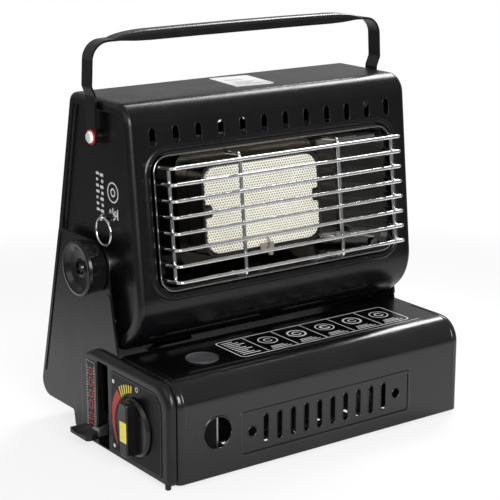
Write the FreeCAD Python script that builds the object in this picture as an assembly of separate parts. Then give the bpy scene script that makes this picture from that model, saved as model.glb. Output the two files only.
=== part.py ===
import FreeCAD, Part
import math
import os

from FreeCAD import Vector

# Portable cartridge gas heater. Millimetres, +Z up, the front faces -Y.
# Depths are drawn from a line CENTRE_Y in front of the middle; the finished pieces move onto it.

CENTRE_Y = 2.35

# Base
BASE_FRONT = -94.5
REAR_EDGE_Y = 98.0
REAR_LEAN = 0.264
BASE_TOP = 75.0
FLOOR_Z = 3.0
REAR_FLOOR_Z = 17.0
STEP_Y = 42.0
SHEET = 1.2
PLATE_IN = 126.2
PLATE_OUT = 127.4
PLATE_TOP = 153.5
REAR_WALL_TOP = 97.0
DECK_Z = 70.0
BAY_REAR = -18.0

# Lid over the cartridge bay
LID_LEFT = -125.8
LID_RIGHT = 130.2
LID_ROLL = 18.5
HINGE_Y = -24.0
HINGE_Z = 68.8
HINGE_PIN_R = 1.5

# Control panel on the left end
PANEL_FACE = -132.0
PANEL_REAR = 24.5
KNOB_Y = -51.5
KNOB_Z = 33.8
KNOB_R = 21.0
LEVER_Y = 45.0
LEVER_Z = 38.0
LEVER_DROP = 22.0

# Tilting head
PIVOT_Y = 6.5
PIVOT_Z = 136.0
HEAD_HALF = 122.6
SEAM_HALF = 118.0
FIELD_HALF = 120.0
HEAD_TOP = 254.0
FACE_SLOPE = 0.104
LEAN = math.degrees(math.atan(FACE_SLOPE))
WINDOW_Z = 170.7
WINDOW_W = 217.0
WINDOW_H = 101.0
SLOT_COUNT = 12
SLOT_PITCH = 18.8

# Wire guard
GUARD_HALF = 102.2
GUARD_OUT = -18.0
GUARD_TOP = 39.9
GUARD_PITCH = 11.19
GUARD_RODS = 8
ROD_R = 1.3

# Burner
PLAQUE_W = 101.0
PLAQUE_H = 63.0
PLAQUE_FRONT = 20.0

# Tilt knobs, handle and pull ring
TILT_KNOB_R = 20.0
TILT_KNOB_OUT = 143.0
HANDLE_Y = 9.7
HANDLE_Z = 227.0
HANDLE_TOP = 299.0
STRAP_W = 12.4
STRAP_T = 1.5
RING_R = 9.8
RING_WIRE = 0.9
STEM_Y = -8.5
STEM_Z = 173.5


def face_y(z):
    """Depth of the head's front face at height z."""
    return -37.2 + FACE_SLOPE * (z - 200.0)


def rear_y(z):
    """Depth of the side plates' rear edge at height z."""
    return REAR_EDGE_Y - REAR_LEAN * z


def box(x0, x1, y0, y1, z0, z1):
    return Part.makeBox(x1 - x0, y1 - y0, z1 - z0, Vector(x0, y0, z0))


def rod_x(x0, x1, y, z, r):
    return Part.makeCylinder(r, x1 - x0, Vector(x0, y, z), Vector(1, 0, 0))


def rod_y(x, y0, y1, z, r):
    return Part.makeCylinder(r, y1 - y0, Vector(x, y0, z), Vector(0, 1, 0))


def rod_z(x, y, z0, z1, r):
    return Part.makeCylinder(r, z1 - z0, Vector(x, y, z0), Vector(0, 0, 1))


def corner(prev, here, after, radius):
    """Tangent points and mid point of an arc that rounds a corner."""
    a = Vector(prev[0] - here[0], prev[1] - here[1], 0).normalize()
    b = Vector(after[0] - here[0], after[1] - here[1], 0).normalize()
    half = a.getAngle(b) / 2
    length = radius / math.tan(half)
    reach = radius / math.sin(half) - radius
    p = Vector(here[0], here[1], 0)
    mid = (a + b).normalize()
    return p + a * length, p + mid * reach, p + b * length


def outline(points, closed=True):
    """Wire in the XY plane through (u, v) or (u, v, corner radius) points."""
    count = len(points)
    edges = []
    start = None
    last = None
    for i in range(count):
        here = points[i]
        radius = here[2] if len(here) > 2 else 0
        inner = closed or 0 < i < count - 1
        if radius and inner:
            t0, tm, t1 = corner(points[i - 1], here, points[(i + 1) % count], radius)
        else:
            t0 = t1 = Vector(here[0], here[1], 0)
            tm = None
        if last is not None and last.distanceToPoint(t0) > 1e-6:
            edges.append(Part.LineSegment(last, t0).toShape())
        if tm is not None:
            edges.append(Part.Arc(t0, tm, t1).toShape())
        if start is None:
            start = t0
        last = t1
    if closed and last.distanceToPoint(start) > 1e-6:
        edges.append(Part.LineSegment(last, start).toShape())
    return Part.Wire(edges)


def to_yz(shape, x):
    """Turn a flat shape drawn as (u, v) into the plane y = u, z = v at x."""
    turned = shape.copy()
    turned.transformShape(FreeCAD.Matrix(0, 0, 1, x, 1, 0, 0, 0, 0, 1, 0, 0, 0, 0, 0, 1))
    return turned


def to_xz(shape, y):
    """Turn a flat shape drawn as (u, v) into the plane x = u, z = v at y."""
    turned = shape.copy()
    turned.transformShape(FreeCAD.Matrix(1, 0, 0, 0, 0, 0, -1, y, 0, 1, 0, 0, 0, 0, 0, 1))
    return turned


def prism_x(points, x0, x1):
    return to_yz(Part.Face(outline(points)), x0).extrude(Vector(x1 - x0, 0, 0))


def prism_y(points, y0, y1):
    return to_xz(Part.Face(outline(points)), y0).extrude(Vector(0, y1 - y0, 0))


def prism_z(points, z0, z1):
    flat = Part.Face(outline(points))
    flat.translate(Vector(0, 0, z0))
    return flat.extrude(Vector(0, 0, z1 - z0))


def strip(points, t):
    """Closed outline of a bent sheet: the path, and the path moved t to its left."""
    count = len(points)
    moved = []
    for i in range(count):
        here = Vector(points[i][0], points[i][1], 0)
        dirs = []
        if i > 0:
            dirs.append((here - Vector(points[i - 1][0], points[i - 1][1], 0)).normalize())
        if i < count - 1:
            dirs.append((Vector(points[i + 1][0], points[i + 1][1], 0) - here).normalize())
        normals = [Vector(-d.y, d.x, 0) for d in dirs]
        if len(normals) == 1:
            p = here + normals[0] * t
            moved.append((p.x, p.y))
            continue
        mid = (normals[0] + normals[1]).normalize()
        p = here + mid * (t / mid.dot(normals[0]))
        radius = points[i][2] if len(points[i]) > 2 else 0
        turn = dirs[0].x * dirs[1].y - dirs[0].y * dirs[1].x
        if radius:
            radius = radius - t if turn > 0 else radius + t
            moved.append((p.x, p.y, max(radius, 0.2)))
        else:
            moved.append((p.x, p.y))
    return list(points) + moved[::-1]


def sheet_x(points, t, x0, x1):
    return prism_x(strip(points, t), x0, x1)


def round_rect(w, h, r, u=0.0, v=0.0):
    return [
        (u - w / 2, v - h / 2, r),
        (u + w / 2, v - h / 2, r),
        (u + w / 2, v + h / 2, r),
        (u - w / 2, v + h / 2, r),
    ]


def slot_y(x, z, w, h, y0, y1):
    """Upright round-ended slot cutter that runs along Y."""
    return prism_y(round_rect(w, h, w / 2 - 0.01, x, z), y0, y1)


def slot_x(y, z, w, h, x0, x1):
    """Round-ended slot cutter that runs along X; w is along Y."""
    return prism_x(round_rect(w, h, min(w, h) / 2 - 0.01, y, z), x0, x1)


def on_face(shape):
    """Place a shape drawn on an upright face (y = 0 at the face) on the leaning face."""
    placed = shape.copy()
    placed.rotate(Vector(0, 0, 0), Vector(1, 0, 0), -LEAN)
    placed.translate(Vector(0, face_y(WINDOW_Z), WINDOW_Z))
    return placed


def tube(points, r, radius):
    """Round wire along straight runs joined by arcs of one radius, in any plane."""
    vs = [Vector(*p) for p in points]
    edges = []
    last = vs[0]
    for i in range(1, len(vs) - 1):
        a = (vs[i - 1] - vs[i]).normalize()
        b = (vs[i + 1] - vs[i]).normalize()
        half = a.getAngle(b) / 2
        length = radius / math.tan(half)
        t0 = vs[i] + a * length
        t1 = vs[i] + b * length
        tm = vs[i] + (a + b).normalize() * (radius / math.sin(half) - radius)
        edges.append(Part.LineSegment(last, t0).toShape())
        edges.append(Part.Arc(t0, tm, t1).toShape())
        last = t1
    edges.append(Part.LineSegment(last, vs[-1]).toShape())
    path = Part.Wire(edges)
    start = (vs[1] - vs[0]).normalize()
    ring = Part.Wire([Part.Circle(vs[0], start, r).toShape()])
    return path.makePipeShell([ring], True, True)


def fuse(shapes):
    whole = shapes[0].multiFuse(shapes[1:]) if len(shapes) > 1 else shapes[0]
    return whole.removeSplitter()


def edges_at_x(shape, x):
    """Edges that lie flat in the plane at x."""
    return [e for e in shape.Edges if abs(e.BoundBox.XMin - x) < 0.01 and e.BoundBox.XLength < 0.01]


def edges_at_y(shape, y):
    """Edges that lie flat in the plane at y."""
    return [e for e in shape.Edges if abs(e.BoundBox.YMin - y) < 0.01 and e.BoundBox.YLength < 0.01]


def revolve(points, origin, axis):
    """Solid of revolution: points are (distance along the axis, radius)."""
    axis = Vector(*axis).normalize()
    origin = Vector(*origin)
    side = Vector(0, 0, 1) if abs(axis.z) < 0.9 else Vector(1, 0, 0)
    corners = [origin + axis * p[0] + side * p[1] for p in points]
    wire = Part.makePolygon(corners + [corners[0]])
    return Part.Face(wire).revolve(origin, axis, 360)


# Base


def plate_outline():
    """Side plate: bay end in front, upright behind it, round rear corner."""
    return [
        (-92.3, 5.0, 5),
        (-92.3, 72.4, 17),
        (-22.5, 72.4, 3),
        (-12.0, 128.0, 12),
        (-10.0, PLATE_TOP, 13),
        (rear_y(PLATE_TOP), PLATE_TOP, 4),
        (rear_y(REAR_FLOOR_Z), REAR_FLOOR_Z, 11),
        (STEP_Y + 1.0, REAR_FLOOR_Z, 2),
        (STEP_Y - 1.0, 5.0, 2),
    ]


def lever_slot():
    return prism_x(round_rect(15.0, 63.0, 1.5, -7.9, 36.6), -140, -115)


def side_plate(sign):
    x0 = PLATE_IN if sign > 0 else -PLATE_OUT
    plate = prism_x(plate_outline(), x0, x0 + SHEET)
    rim_x = PLATE_OUT if sign > 0 else -PLATE_OUT - 0.7
    rim = prism_x([(-21.8, 78, 1), (-13.6, 118, 1), (-8.0, 118, 1), (-15.9, 78, 1)], rim_x, rim_x + 0.7)
    bead = prism_x(
        [
            (rear_y(150) - 4.2, 150, 0.7),
            (rear_y(36) - 4.2, 36, 0.7),
            (rear_y(36) - 2.2, 36, 0.7),
            (rear_y(150) - 2.2, 150, 0.7),
        ],
        rim_x,
        rim_x + 0.7,
    )
    pieces = [plate, rim, bead]
    if sign < 0:
        pieces.append(rod_x(-PLATE_IN - 0.5, -120.7, LEVER_Y, LEVER_Z, 2.4))
        pieces.append(rod_x(-120.7, -119.9, LEVER_Y, LEVER_Z, 3.4))
    body = fuse(pieces)
    cuts = [rod_x(-140, 140, PIVOT_Y, PIVOT_Z, 4.05), rod_x(-140, 140, HINGE_Y, HINGE_Z, HINGE_PIN_R)]
    if sign < 0:
        cuts.append(lever_slot())
        cuts.append(rod_x(-140, 0, KNOB_Y, KNOB_Z, 6.0))
    half = box(0, 140, -200, 200, 0, 300) if sign > 0 else box(-140, 0, -200, 200, 0, 300)
    return body.cut(Part.makeCompound(cuts).common(half))


def base_tray():
    """Bent floor and leaning rear wall with louvre slots and a row of floor vents."""
    path = [
        (-91.0, 12.0),
        (-91.0, FLOOR_Z, 2),
        (STEP_Y, FLOOR_Z, 3),
        (STEP_Y + 2.0, REAR_FLOOR_Z, 3),
        (rear_y(REAR_FLOOR_Z) - 1.4, REAR_FLOOR_Z, 10),
        (rear_y(REAR_WALL_TOP) - 1.4, REAR_WALL_TOP, 1.5),
        (rear_y(REAR_WALL_TOP) - 6.4, REAR_WALL_TOP),
    ]
    tray = sheet_x(path, 1.0, -PLATE_IN + 0.2, PLATE_IN - 0.2)
    cuts = []
    for i in range(9):
        x = (i - 4) * 23.0
        cuts.append(slot_y(x, 62, 6, 30, 70, 100))
    for i in range(7):
        x = (i - 3) * 28.0
        cuts.append(prism_z(round_rect(5, 34, 2.4, x, -55), 0, 8))
    cuts.append(box(-130, -124.3, -95, BAY_REAR, 0, 20))
    return tray.cut(Part.makeCompound(cuts))


def deck_plate():
    """Deck behind the bay with a flange down to the floor and a slot for the gas hose."""
    path = [
        (BAY_REAR, FLOOR_Z + 1.2),
        (BAY_REAR, DECK_Z, 2),
        (76.4, DECK_Z, 2),
        (76.4, DECK_Z - 9.0),
    ]
    deck = sheet_x([(p[0], p[1]) + p[2:] for p in path[::-1]], 1.0, -PLATE_IN + 0.4, PLATE_IN - 0.4)
    cuts = [prism_z(round_rect(46, 20, 9, -72, 6), 60, 80)]
    for i in range(8):
        cuts.append(prism_z(round_rect(5, 30, 2.4, (i - 2) * 18.0, 45), 60, 80))
    cuts.append(rod_y(-112, -22, -12, KNOB_Z + 14, 5.5))
    return deck.cut(Part.makeCompound(cuts))


def front_feet():
    feet = []
    for x in (-104, 104):
        feet.append(revolve([(0, 0), (0, 8), (2.2, 9), (3.0, 9), (3.0, 0)], (x, -74, 0), (0, 0, 1)))
    return Part.makeCompound(feet)


def rear_feet():
    feet = []
    for x in (-109, 109):
        low = outline(round_rect(14, 12, 3, x, 54.5))
        high = outline(round_rect(18, 16, 4, x, 54.5))
        high.translate(Vector(0, 0, REAR_FLOOR_Z))
        feet.append(Part.makeLoft([low, high], True, True))
    return Part.makeCompound(feet)


def panel_outline(top, side, low):
    """Outline of the end panel moved in from its outer edge."""
    return [
        (-94.3 + side, 2.6 + low, 5),
        (PANEL_REAR - 0.6 * side, 2.6 + low, 3),
        (PANEL_REAR - 0.6 * side, 75.4 - top, 26.0 - 2.6 * top),
        (-94.3 + side, 75.4 - top, 17),
    ]


def control_panel():
    """Moulded end panel: rolled rim, lever slot, knob well and a stub foot at its front corner."""
    depth = -PLATE_OUT - PANEL_FACE
    sections = []
    for degrees in (0, 25, 45, 62, 78, 90):
        a = math.radians(degrees)
        into = 1 - math.cos(a)
        edge = outline(panel_outline(6.0 * into, 4.2 * into, 2.0 * into))
        sections.append(to_yz(edge, -PLATE_OUT - depth * math.sin(a)))
    body = Part.makeLoft(sections, True, False)
    inner = panel_outline(1.7, 1.7, 1.5)
    lip = prism_x(panel_outline(0, 0, 0), -PLATE_OUT, LID_LEFT - 0.6)
    lip = lip.cut(prism_x(inner, -PLATE_OUT - 1, LID_LEFT))
    body = body.fuse(lip.cut(box(-PLATE_OUT - 0.5, LID_LEFT + 1, -30, 30, 0, 80)))
    foot = revolve([(0, 0), (0, 1.8), (0.5, 2.1), (5.5, 2.25), (5.5, 0)], (-129.7, -88.8, 0), (0, 0, 1))
    body = body.fuse(foot)
    hollow = [(-88.0, 7.0, 2), (16.0, 7.0, 2), (16.0, 67.5, 6), (-88.0, 67.5, 12)]
    pocket = prism_x(hollow, PANEL_FACE + 2.2, -PLATE_OUT + 0.01)
    ribs = [box(PANEL_FACE + 2.0, -PLATE_OUT, y, y + 1.6, 6, 71) for y in (-19.4, -80.0, 1.2)]
    pocket = pocket.cut(Part.makeCompound(ribs))
    well = rod_x(PANEL_FACE - 1, PANEL_FACE + 1.4, KNOB_Y, KNOB_Z, KNOB_R + 1.2)
    cuts = [pocket, well, rod_x(-140, -120, KNOB_Y, KNOB_Z, 6.0), lever_slot()]
    cuts.append(prism_x([(-92, 0), (60, 0), (60, 5.2, 1), (-92, 5.2)], -PLATE_OUT - 0.01, -120))
    return body.cut(Part.makeCompound(cuts)).removeSplitter()


def scale_plate():
    edge = [(-85, 7, 2), (-20, 7, 2), (-20, 66.5, 2), (-85, 66.5, 12)]
    plate = prism_x(edge, PANEL_FACE - 0.35, PANEL_FACE)
    return plate.cut(rod_x(-140, -120, KNOB_Y, KNOB_Z, KNOB_R + 1.2))


def name_strip():
    edge = [(1.0, 9, 1.5), (15.0, 9, 1.5), (15.0, 66, 4), (1.0, 66, 1.5)]
    return prism_x(edge, PANEL_FACE - 0.35, PANEL_FACE)


def regulator_body():
    """Pressure regulator: round diaphragm housing, cartridge socket and hose outlet."""
    y, z = KNOB_Y, KNOB_Z + 2
    body = revolve(
        [(0, 0), (0, 17), (3, 20), (9, 20), (10, 23), (14, 23), (15, 20), (22, 14), (26, 14), (26, 0)],
        (-122.5, y, z),
        (1, 0, 0),
    )
    outlet = rod_y(-112, y, y + 27, z + 12, 4.0)
    foot = box(-118, -100, y - 8, y + 8, 5.2, z)
    body = fuse([body, outlet, foot])
    socket = rod_x(-104, -90, y, z, 7.0)
    spindle = rod_x(-130, -116, KNOB_Y, KNOB_Z, 4.05)
    bore = rod_y(-112, y + 12, y + 40, z + 12, 2.2)
    return body.cut(Part.makeCompound([socket, spindle, bore]))


def igniter():
    body = prism_x(round_rect(13, 26, 2, 3, 26), -120, -88)
    lug = prism_x([(-3, 4.1), (9, 4.1), (9, 14, 1), (-3, 14, 1)], -112, -110)
    tip = rod_x(-88, -82, 3, 30, 3.2)
    return fuse([body, lug, tip])


def gas_hose():
    """Rubber hose from the regulator outlet up through the deck to the tilt axis."""
    z = KNOB_Z + 14
    points = [
        (-112, -24.0, z),
        (-112, 0.0, z),
        (-92, 8.0, 62.0),
        (-72, 7.0, 84.0),
        (-72, PIVOT_Y, 118.0),
    ]
    return tube(points, 4.2, 12.0)


def cartridge_guide():
    """Upright plate with the round seat and the top notch that lines the cartridge up."""
    plate = prism_x([(-90, 5), (-20, 5), (-20, 66, 6), (-90, 66, 18)], -90.5, -89.3)
    seat = rod_x(-95, -85, KNOB_Y, KNOB_Z + 2, 17.0)
    notch = box(-95, -85, KNOB_Y - 5, KNOB_Y + 5, 50, 60)
    foot = box(-90.5, -80, -86, -24, 4.1, 5.1)
    return fuse([plate, foot]).cut(Part.makeCompound([seat, notch]))


def hinge_pins():
    """Short headed pins: the left one points outward, the right one inward."""
    head = [(0, 0), (0, 2.1), (0.9, 2.1), (0.9, 1.45)]
    left = revolve(head + [(3.7, 1.45), (3.7, 0)], (-123.65, HINGE_Y, HINGE_Z), (-1, 0, 0))
    right = revolve(head + [(5.2, 1.45), (5.2, 0)], (LID_RIGHT + 0.95, HINGE_Y, HINGE_Z), (-1, 0, 0))
    return Part.makeCompound([left, right])


def screw(x, y, z, axis, r=3.0):
    """Pan head of a self-tapping screw with a cross recess."""
    head = revolve([(0, 0), (0, r), (0.9, r), (1.7, r * 0.62), (1.9, 0)], (0, 0, 0), (0, 0, 1))
    for w, h in ((r * 1.1, 0.7), (0.7, r * 1.1)):
        head = head.cut(box(-w / 2, w / 2, -h / 2, h / 2, 1.2, 3))
    turn = FreeCAD.Rotation(Vector(0, 0, 1), Vector(*axis))
    head.Placement = FreeCAD.Placement(Vector(x, y, z), turn)
    return head


def base_screws():
    """Screws up through the floor into the deck's foot and the regulator's."""
    heads = [screw(x, y, FLOOR_Z, (0, 0, -1)) for x in (-112, 112) for y in (-30, 26)]
    return Part.makeCompound(heads)


# Lid


def lid():
    """Pressed lid: rolled front, round ends, raised beads, vents and a sight hole."""
    front, top, roll = BASE_FRONT + 1.1, BASE_TOP - 1.1, LID_ROLL - 1.1
    outside = [(BASE_FRONT, 3.0), (BASE_FRONT, BASE_TOP, LID_ROLL), (-21.0, BASE_TOP), (-21.0, 3.0)]
    inside = [(front, 0.0), (front, top, roll), (-18.0, top), (-18.0, 0.0)]
    outer = prism_x(outside, LID_LEFT, LID_RIGHT)
    inner = prism_x(inside, LID_LEFT + 1.0, LID_RIGHT - 1.0)
    outer = round_ends(outer, LID_LEFT, LID_RIGHT, 5.0)
    inner = round_ends(inner, LID_LEFT + 1.0, LID_RIGHT - 1.0, 4.0)
    shell = outer.cut(inner)
    beads = [rod_x(-103.5, 105.0, -76.2, 74.1, 1.5)]
    for x in (LID_LEFT + 6.3, LID_RIGHT - 6.3):
        path = [(x, -46.0, 74.0), (x, BASE_FRONT + 1.0, 74.0), (x, BASE_FRONT + 1.0, 27.0)]
        beads.append(tube(path, 1.4, LID_ROLL - 1.0))
    shell = fuse([shell] + beads)
    cuts = [outer_recess()]
    for i in range(12):
        x = -63.2 + 11.889 * i
        if i in (0, 11):
            cuts.append(rod_y(x, -100, -90, 28.6, 3.4))
        else:
            cuts.append(slot_y(x, 28.6, 4.2, 20.5, -100, -90))
    cuts.append(rod_y(-92.5, -100, -90, 34.4, 11.2))
    cuts.append(rod_z(-79.4, -56.3, 70, 80, 10.4))
    cuts.append(rod_x(-130, -120, HINGE_Y, HINGE_Z, HINGE_PIN_R + 0.02))
    cuts.append(rod_x(125, 140, HINGE_Y, HINGE_Z, HINGE_PIN_R + 0.02))
    cuts.append(prism_x([(-86, -1), (-86, 52, 10), (-60, 62, 8), (-17, 62), (-17, -1)], -130, -122))
    cuts.append(prism_x([(-60, -1), (-60, 3), (-34, 40, 12), (-17, 46), (-17, -1)], LID_RIGHT - 2, 140))
    cuts.append(box(PLATE_IN - 0.4, PLATE_OUT + 0.4, -28.6, -15, 60, 80))
    return shell.cut(Part.makeCompound(cuts))


def outer_recess():
    """Shallow panel pressed into the lid's front round the vents."""
    return prism_y(round_rect(153.0, 30.5, 3.0, 3.4, 28.2), BASE_FRONT - 1, BASE_FRONT + 0.45)


def round_ends(solid, x0, x1, r):
    """Round the top and front edges of the end faces at x0 and x1."""
    picked = []
    for e in solid.Edges:
        b = e.BoundBox
        if b.XLength > 0.01 or min(abs(b.XMin - x0), abs(b.XMin - x1)) > 0.01:
            continue
        rear = b.YMin > -22 and b.YLength < 0.01
        low = b.ZMax < 4
        if not rear and not low:
            picked.append(e)
    return solid.makeFillet(r, picked)


def lid_plug():
    """Round blanking plug in the lid's top with a shallow dish."""
    return revolve(
        [(0, 0), (0, 10.3), (2.6, 10.3), (2.6, 11.8), (3.2, 11.8), (3.4, 11.2), (2.9, 9.8), (2.8, 0)],
        (-79.4, -56.3, BASE_TOP - 2.58),
        (0, 0, 1),
    )


# Lever and cradle


def lever_ear():
    """Outer end of the lever's ear, the part that the finger tab is moulded on."""
    edge = [(-6.0, 12.5, 1), (8.0, 10.6, 1), (8.0, 14.0, 1), (1.0, 18.6, 3), (-6.0, 18.6, 1)]
    return prism_x(edge, -134.6, -133.0)


def lock_lever():
    """Flat arm on its pivot with a cam at the hub and an ear bent out through the slot."""
    arm = prism_x(
        [
            (LEVER_Y - 53.5, LEVER_Z - 4, 3),
            (LEVER_Y + 6, LEVER_Z - 6, 5),
            (LEVER_Y + 6, LEVER_Z + 6, 5),
            (LEVER_Y - 53.5, LEVER_Z + 4, 3),
        ],
        -124.4,
        -122.8,
    )
    cam = prism_x(
        [
            (LEVER_Y - 4, LEVER_Z - 20, 3),
            (LEVER_Y + 4, LEVER_Z - 20, 3),
            (LEVER_Y + 5, LEVER_Z - 2),
            (LEVER_Y - 5, LEVER_Z - 2),
        ],
        -124.4,
        -122.8,
    )
    hub = rod_x(-125.9, -121.0, LEVER_Y, LEVER_Z, 4.5)
    inner = fuse([arm, cam, hub]).cut(rod_x(-130, -115, LEVER_Y, LEVER_Z, 2.46))
    inner.rotate(Vector(0, LEVER_Y, LEVER_Z), Vector(1, 0, 0), LEVER_DROP)
    bridge = prism_y([(-134.6, 12.5), (-122.8, 12.5), (-122.8, 22.0), (-134.6, 18.6)], -6.0, -4.4)
    return fuse([inner, bridge, lever_ear()])


def lever_tab():
    """Moulded finger tab: a dished leaf that slopes outward and down to its round tip."""
    plan = prism_z([(-142.4, -3.0, 4), (-132.7, -3.0, 1), (-132.7, 26.5, 3.6), (-142.4, 25.0, 4.2)], 0, 40)
    across = prism_y([(-144, 8.9), (-131, 10.3), (-131, 17.4), (-144, 11.4)], -10, 40)
    along = prism_x([(-5, 9.0), (30, 7.6), (30, 10.0), (10, 17.5, 6), (-5, 17.5)], -150, -120)
    tab = plan.common(across).common(along)
    dish = Part.makeSphere(24, Vector(-147.5, 13.0, 34.6))
    return tab.cut(dish).cut(lever_ear())


def cartridge_cradle():
    """Sliding trough under the cartridge with an upturned end that pushes it home."""
    r = 35.5
    y = KNOB_Y - 3.5
    z = 41.4
    ring = rod_x(-76, 114, y, z, r + 1.0).cut(rod_x(-80, 120, y, z, r))
    body = ring.common(box(-80, 120, y - 22, y + 22, 0, 16))
    end = rod_x(112.8, 114, y, z, r + 1.0).common(box(100, 120, y - 20, y + 20, 4.5, 58))
    body = fuse([body, end])
    for i in range(5):
        body = body.cut(prism_z(round_rect(18, 8, 3.9, -54 + i * 36, y), 0, 12))
    return body


# Gas knob


def pointer_block():
    return box(PANEL_FACE - 11, PANEL_FACE - 9.0, KNOB_Y - 4.0, KNOB_Y + 4.0, KNOB_Z - 8.8, KNOB_Z + 6.0)


def control_knob():
    """Round skirt with a finger bar across it."""
    skirt = revolve(
        [(0, 0), (0, KNOB_R), (2.6, KNOB_R), (4.6, KNOB_R - 1.8), (4.6, 0)],
        (PANEL_FACE + 1.2, KNOB_Y, KNOB_Z),
        (-1, 0, 0),
    )
    bar = prism_x(round_rect(9.4, 39.4, 2.5, KNOB_Y, KNOB_Z), PANEL_FACE - 10.2, PANEL_FACE - 2)
    bar = bar.makeFillet(1.2, edges_at_x(bar, PANEL_FACE - 10.2))
    return fuse([skirt, bar]).cut(pointer_block())


def knob_pointer():
    return pointer_block().common(box(PANEL_FACE - 10.4, -100, -100, 0, 0, 100))


def valve_spindle():
    stem = rod_x(PANEL_FACE + 1.2, -118.0, KNOB_Y, KNOB_Z, 4.0)
    return stem.cut(box(-140, -126, KNOB_Y + 2.8, KNOB_Y + 6, KNOB_Z - 5, KNOB_Z + 5))


# Head


def head_profile(inset=0.0):
    """Closed side outline of the head, moved in by inset."""
    pts = [
        (45.6, HEAD_TOP, 8),
        (face_y(HEAD_TOP), HEAD_TOP, 15),
        (-47.4, 101.6, 36),
        (-18.5, 78.0, 8),
        (30.0, 77.3, 10),
        (74.6, 126.0, 6),
    ]
    if inset == 0.0:
        return pts
    moved = []
    count = len(pts)
    for i in range(count):
        here = Vector(pts[i][0], pts[i][1], 0)
        before = (here - Vector(pts[i - 1][0], pts[i - 1][1], 0)).normalize()
        after = (Vector(pts[(i + 1) % count][0], pts[(i + 1) % count][1], 0) - here).normalize()
        n0 = Vector(-before.y, before.x, 0)
        n1 = Vector(-after.y, after.x, 0)
        mid = (n0 + n1).normalize()
        p = here + mid * (inset / mid.dot(n0))
        moved.append((p.x, p.y, max(pts[i][2] - inset, 0.3)))
    return moved


def head_front():
    """Wrapped sheet: top, front bend, leaning face, curved chin and lower flange."""
    path = [
        (44.0, HEAD_TOP - 8.0),
        (44.0, HEAD_TOP, 4),
        (face_y(HEAD_TOP), HEAD_TOP, 15),
        (-47.4, 101.6, 36),
        (-18.5, 78.0, 8),
        (-4.0, 77.8),
    ]
    sheet = sheet_x(path, 1.0, -SEAM_HALF, SEAM_HALF)
    frame = prism_y(round_rect(WINDOW_W, WINDOW_H, 16), 0.0, 7.0)
    frame = frame.cut(prism_y(round_rect(WINDOW_W - 2.4, WINDOW_H - 2.4, 14.8), -1.0, 8.0))
    hole = prism_y(round_rect(WINDOW_W - 2.4, WINDOW_H - 2.4, 14.8), -6.0, 8.0)
    sheet = sheet.fuse(on_face(frame)).cut(on_face(hole))
    cuts = [box(a, b, 40.5, 50, 230, 252.8) for a, b in ((-130, -108.9), (108.9, 130))]
    for i in range(SLOT_COUNT):
        u = (i - (SLOT_COUNT - 1) / 2) * SLOT_PITCH
        cuts.append(on_face(slot_y(u, 60.8, 4.6, 12.2, -4, 4)))
    for angle in (24.0, 37.0):
        a = math.radians(angle)
        y = PIVOT_Y - 60 * math.sin(a)
        z = PIVOT_Z - 60 * math.cos(a)
        for side in (-1, 1):
            cutter = prism_z(round_rect(98, 4.4, 2.1, side * 58.0, 0), -8, 8)
            cutter.rotate(Vector(0, 0, 0), Vector(1, 0, 0), -angle)
            cutter.translate(Vector(0, y, z))
            cuts.append(cutter)
    return sheet.cut(Part.makeCompound(cuts)).removeSplitter()


def head_side(sign):
    """Pressed side pan: round outer rim, recessed field, return flange inside."""
    depth = HEAD_HALF - SEAM_HALF - 0.3
    x_in = SEAM_HALF + 0.3
    block = prism_x(head_profile(), x_in, HEAD_HALF)
    block = block.makeFillet(depth - 0.4, edges_at_x(block, HEAD_HALF))
    field = prism_x(head_profile(7.5), FIELD_HALF, HEAD_HALF + 1)
    field = field.makeFillet(1.6, edges_at_x(field, FIELD_HALF))
    back = prism_x(head_profile(2.2), x_in - 1, x_in + 0.6)
    pan = block.cut(field).cut(back)
    flange = prism_x(head_profile(1.3), x_in - 9, x_in + 0.7)
    flange = flange.cut(prism_x(head_profile(2.3), x_in - 10, x_in + 2))
    pan = pan.fuse(flange)
    cuts = [rod_x(100, 130, PIVOT_Y, PIVOT_Z, 4.05), rod_x(100, 130, HANDLE_Y, HANDLE_Z, 2.25)]
    if sign < 0:
        cuts.append(rod_x(100, 130, STEM_Y, STEM_Z, 2.6))
    pan = pan.cut(Part.makeCompound(cuts)).removeSplitter()
    if sign < 0:
        pan = pan.mirror(Vector(0, 0, 0), Vector(1, 0, 0))
    return pan


def head_rear():
    """Rear cover that slopes out to its foot, with louvre slots and a lower return."""
    y_top = 47.0
    y_low, z_low = 73.6, 126.4
    path = [(44.4, 252.6), (y_top - 0.4, 252.6, 1.2), (y_low, z_low, 4), (52.0, 102.6)]
    cover = sheet_x(path, -1.0, -SEAM_HALF + 9.4, SEAM_HALF - 9.4)
    cuts = []
    for row in range(3):
        for i in range(8):
            x = (i - 3.5) * 24.0
            z = 226.0 - row * 30.0
            cuts.append(slot_y(x, z, 5.0, 20.0, 30, 90))
    return cover.cut(Part.makeCompound(cuts))


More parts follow.
